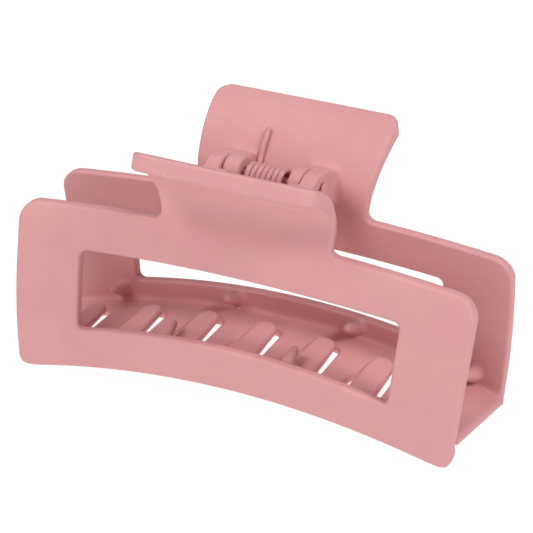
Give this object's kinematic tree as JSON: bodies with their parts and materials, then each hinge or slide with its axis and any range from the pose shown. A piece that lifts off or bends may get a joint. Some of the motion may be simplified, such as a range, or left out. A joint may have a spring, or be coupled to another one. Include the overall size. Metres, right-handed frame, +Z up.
{
  "type": "claw clip",
  "caption": "Long rectangular claw clip for hair: two curved jaws with open windows, interlocking combs and flared handles, on a sprung pin hinge.",
  "frame": {"origin": "centre of the box's underside, where the closed clip stands on its four bottom corners", "axes": "+X along the clip and its hinge axis, -Y the front jaw, +Y the back jaw, +Z up to the handles"},
  "size_m": [0.107, 0.0484, 0.0596],
  "materials": {
    "jaw_shell": "moulded ABS with a sprayed matte soft-touch coat in dusty pink",
    "coated_steel": "steel wire under the same dusty pink spray coat"
  },
  "bodies": {
    "back_half": {"back_jaw": "jaw_shell", "hinge_pin": "coated_steel", "torsion_spring": "coated_steel"},
    "front_half": {"front_jaw": "jaw_shell"}
  },
  "joints": [
    {"name": "jaw_hinge", "type": "hinge", "parent": "back_half", "child": "front_half", "pos_m": [0, 0, 0.0496], "axis": [-1, 0, 0], "range_deg": [0, 60], "stiffness_Nm_per_rad": 0.15, "springref_deg": -28.65, "deforming": ["torsion_spring"]}
  ]
}
